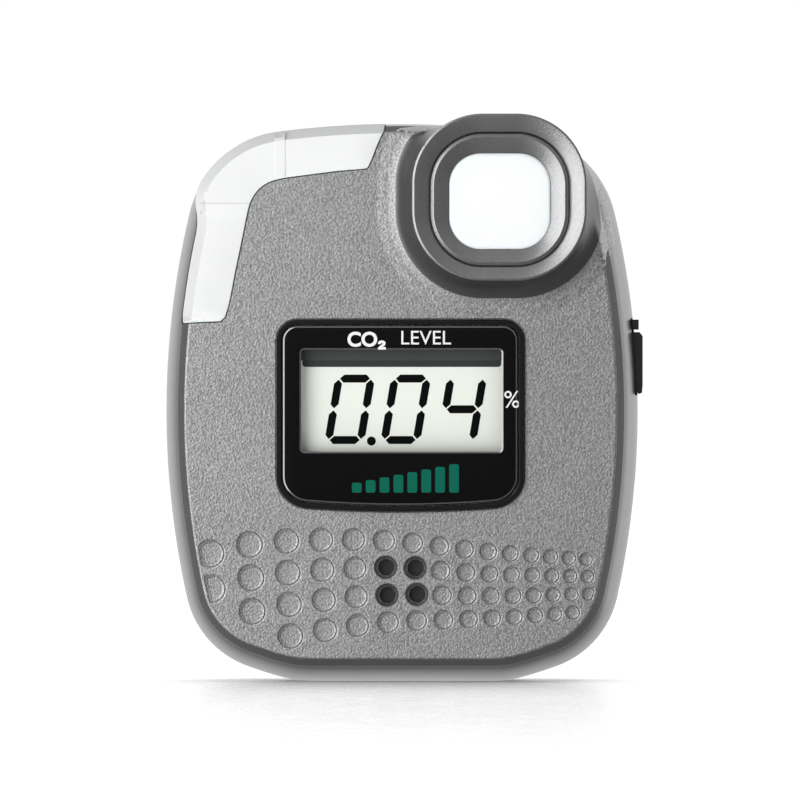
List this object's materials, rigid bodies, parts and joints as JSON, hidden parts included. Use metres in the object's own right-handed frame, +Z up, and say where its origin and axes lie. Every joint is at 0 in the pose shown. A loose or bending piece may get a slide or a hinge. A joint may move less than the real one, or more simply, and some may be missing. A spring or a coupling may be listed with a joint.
{
  "type": "carbon dioxide monitor",
  "caption": "Small personal gas monitor with a rounded two-part case, corner light guide, large ringed push button, digital display, gas ports, rubber socket cover and sprung belt clip",
  "frame": {"origin": "centre of the object's box at the level of the flat under the case", "axes": "+Z up, the display faces -Y, +X to the right of someone who looks at the display"},
  "size_m": [0.0723, 0.036, 0.0859],
  "materials": {
    "silver_paint": "satin metallic paint with a fine sprayed grain",
    "frosted_plastic": "frosted translucent white",
    "black_plastic": "satin black",
    "black_gloss": "high gloss, printed black behind a clear window",
    "display_glass": "pale grey-green liquid crystal panel",
    "white_plastic": "satin",
    "rubber": "matt black",
    "foam": "closed-cell foam, matt",
    "board_laminate": "green solder mask",
    "steel": "bright",
    "brass": "plain",
    "battery_wrap": "silver foil pouch",
    "membrane": "matt white porous film"
  },
  "bodies": {
    "case": {"front_case": "silver_paint", "rear_case": "silver_paint", "light_guide": "frosted_plastic", "alarm_led_1": "frosted_plastic", "alarm_led_2": "frosted_plastic", "alarm_led_3": "frosted_plastic", "display_bezel": "black_plastic", "tact_switch": "black_plastic", "processor_chip": "black_plastic", "sounder": "black_plastic", "clip_bracket": "black_plastic", "display_lens": "black_gloss", "lcd_glass": "display_glass", "lcd_backlight": "white_plastic", "lcd_frame": "white_plastic", "battery_connector": "white_plastic", "rating_plate": "white_plastic", "case_seal": "rubber", "button_seal": "rubber", "zebra_strip": "rubber", "usb_cover_anchor": "rubber", "battery_lead": "rubber", "lens_gasket": "foam", "filter_gasket": "foam", "battery_pad": "foam", "main_board": "board_laminate", "sensor_board": "board_laminate", "case_screw_1": "steel", "case_screw_2": "steel", "case_screw_3": "steel", "case_screw_4": "steel", "clip_screw_1": "steel", "clip_screw_2": "steel", "clip_pin": "steel", "clip_spring": "steel", "co2_sensor": "steel", "usb_connector": "steel", "motor_body": "steel", "battery": "battery_wrap", "sensor_ribbon": "battery_wrap", "port_filter": "membrane"},
    "button": {"button_bezel": "silver_paint", "button_lens": "frosted_plastic"},
    "switch_plunger": {"tact_plunger": "black_plastic"},
    "usb_flap": {"usb_cover": "rubber"},
    "clip": {"clip_lever": "black_plastic"},
    "motor_rotor": {"motor_weight": "brass"}
  },
  "joints": [
    {"name": "button_press", "type": "slide", "parent": "case", "child": "button", "axis": [0, 1, 0], "range_m": [0, 0.0004], "stiffness_N_per_m": 500},
    {"name": "plunger_press", "type": "slide", "parent": "case", "child": "switch_plunger", "axis": [0, 1, 0], "range_m": [0, 0.0004]},
    {"name": "usb_cover_hinge", "type": "hinge", "parent": "case", "child": "usb_flap", "pos_m": [0.0353, -0.0056, 0.0541], "axis": [0, -1, 0], "range_deg": [0, 110]},
    {"name": "clip_hinge", "type": "hinge", "parent": "case", "child": "clip", "pos_m": [-0.00038, 0.0141, 0.06], "axis": [1, 0, 0], "range_deg": [0, 18], "stiffness_Nm_per_rad": 0.05, "springref_deg": -11.46},
    {"name": "motor_spin", "type": "hinge", "parent": "case", "child": "motor_rotor", "pos_m": [0.0252, -0.0026, 0.039], "axis": [0, 0, 1], "continuous": true}
  ],
  "couplings": [
    {"joint": "plunger_press", "follows": "button_press", "ratio": 1}
  ]
}
